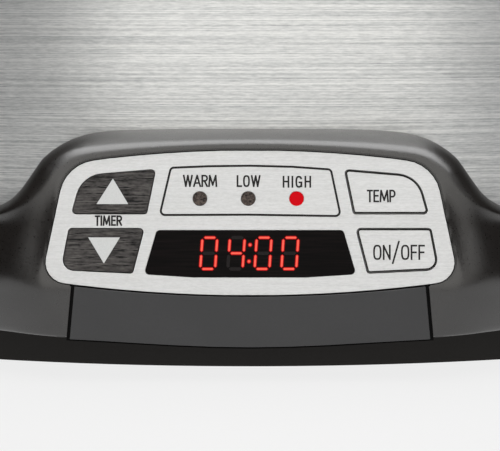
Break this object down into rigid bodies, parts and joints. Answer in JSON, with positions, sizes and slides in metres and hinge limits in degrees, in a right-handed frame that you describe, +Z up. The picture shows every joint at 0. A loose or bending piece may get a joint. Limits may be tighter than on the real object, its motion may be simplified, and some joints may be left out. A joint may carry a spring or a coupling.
{
  "type": "slow cooker",
  "caption": "Oval slow cooker with a brushed steel body, black base, angled control panel with digital display, lift-out crock and domed glass lid.",
  "frame": {"origin": "on the table, under the middle of the footprint", "axes": "+X along the long way, to the right as seen from the front; the control panel faces -Y; +Z up"},
  "size_m": [0.382, 0.2776, 0.2384],
  "materials": {
    "black_plastic": "satin moulded",
    "base_plastic": "matt moulded",
    "cover_plastic": "satin moulded",
    "handle_plastic": "satin moulded",
    "steel_wrap": "brushed along the length",
    "silver_panel": "fine brushed film",
    "charcoal_key": "brushed print",
    "display_black": "gloss",
    "lamp_dark": "gloss",
    "lamp_red": "lit",
    "plunger_plastic": "matt",
    "board_green": "solder mask",
    "module_grey": "matt",
    "led_clear": "clear",
    "screw_steel": "zinc plated",
    "relay_blue": "matt",
    "tape_yellow": "taped",
    "capacitor_red": "dipped",
    "terminal_cream": "matt",
    "cable_grey": "matt",
    "lead_glass_braid": "braided",
    "sensor_brass": "plain",
    "fuse_ceramic": "ceramic",
    "pot_aluminium": "spun",
    "band_mica": "mica sheet",
    "strip_steel": "plain",
    "foot_rubber": "matt",
    "stoneware": "glazed stoneware",
    "lid_glass": "clear tempered",
    "washer_silicone": "matt"
  },
  "bodies": {
    "cooker": {"base_shell": "black_plastic", "bottom_cover": "base_plastic", "rubber_feet": "foot_rubber", "cover_screws": "screw_steel", "outer_wrap": "steel_wrap", "front_cover": "cover_plastic", "panel_overlay": "silver_panel", "display_window": "display_black", "lamp_warm": "lamp_dark", "lamp_low": "lamp_dark", "lamp_high": "lamp_red", "control_board": "board_green", "board_screws": "screw_steel", "display_module": "module_grey", "indicator_leds": "led_clear", "key_switches": "plunger_plastic", "buzzer": "plunger_plastic", "power_board": "board_green", "power_board_screws": "screw_steel", "relay": "relay_blue", "transformer": "tape_yellow", "filter_capacitor": "capacitor_red", "terminal_block": "terminal_cream", "ribbon_cable": "cable_grey", "heater_leads": "lead_glass_braid", "sensor_lead": "lead_glass_braid", "temperature_sensor": "sensor_brass", "thermal_fuse": "fuse_ceramic", "heating_pot": "pot_aluminium", "heater_band": "band_mica", "band_strap": "strip_steel", "strap_screw": "screw_steel", "pot_brackets": "strip_steel", "bracket_screws": "screw_steel", "heat_shield": "strip_steel", "shield_screws": "screw_steel", "handle_left": "handle_plastic", "handle_right": "handle_plastic", "handle_screws": "screw_steel", "cord_gland": "handle_plastic", "gland_nut": "screw_steel"},
    "crock": {"crock": "stoneware"},
    "lid": {"lid_glass": "lid_glass", "lid_knob": "handle_plastic", "knob_screw": "screw_steel", "knob_washer": "washer_silicone"},
    "timer_up_key": {"key_timer_up": "charcoal_key", "plunger_timer_up": "plunger_plastic"},
    "timer_down_key": {"key_timer_down": "charcoal_key", "plunger_timer_down": "plunger_plastic"},
    "temp_key": {"key_temp": "silver_panel", "plunger_temp": "plunger_plastic"},
    "power_key": {"key_power": "silver_panel", "plunger_power": "plunger_plastic"}
  },
  "joints": [
    {"name": "crock_lift", "type": "slide", "parent": "cooker", "child": "crock", "axis": [0, 0, 1], "range_m": [0, 0.16]},
    {"name": "lid_lift", "type": "slide", "parent": "crock", "child": "lid", "axis": [0, 0, 1], "range_m": [0, 0.08]},
    {"name": "timer_up_press", "type": "slide", "parent": "cooker", "child": "timer_up_key", "axis": [0, 0.9781, -0.2079], "range_m": [0, 0.0007], "stiffness_N_per_m": 1500},
    {"name": "timer_down_press", "type": "slide", "parent": "cooker", "child": "timer_down_key", "axis": [0, 0.9781, -0.2079], "range_m": [0, 0.0007], "stiffness_N_per_m": 1500},
    {"name": "temp_press", "type": "slide", "parent": "cooker", "child": "temp_key", "axis": [0, 0.9781, -0.2079], "range_m": [0, 0.0007], "stiffness_N_per_m": 1500},
    {"name": "power_press", "type": "slide", "parent": "cooker", "child": "power_key", "axis": [0, 0.9781, -0.2079], "range_m": [0, 0.0007], "stiffness_N_per_m": 1500}
  ]
}
